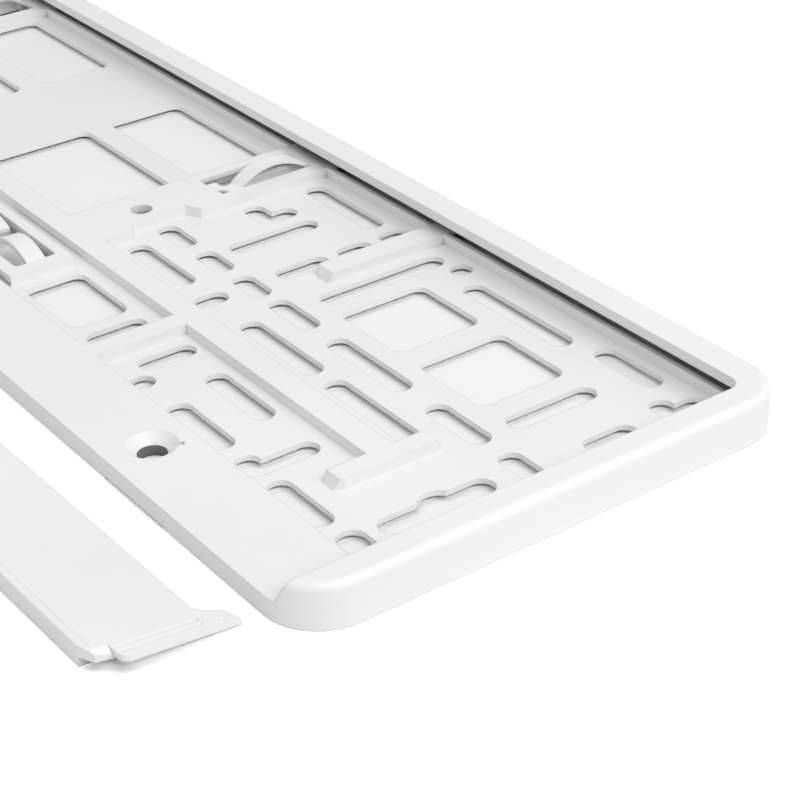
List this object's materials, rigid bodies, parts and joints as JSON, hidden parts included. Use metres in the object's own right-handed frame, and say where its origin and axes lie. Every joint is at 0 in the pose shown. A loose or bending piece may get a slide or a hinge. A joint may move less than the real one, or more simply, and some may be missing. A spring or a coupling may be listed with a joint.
{
  "type": "number plate holder",
  "caption": "Flat moulded number plate holder with a rim on three sides, a slotted back web with springs and a loose clip-on cover strip.",
  "frame": {"origin": "on the back plane of the carrier, midway between the two upper screw holes", "axes": "+X along the long side, to the right as seen from the front with the lip at the top; +Y across the holder, from the open side towards the lip; +Z out of the front, away from the car body"},
  "size_m": [0.537, 0.1773, 0.0112],
  "materials": {
    "white_plastic": "satin"
  },
  "bodies": {
    "root": {"carrier": "white_plastic", "cover_strip": "white_plastic"}
  },
  "joints": []
}
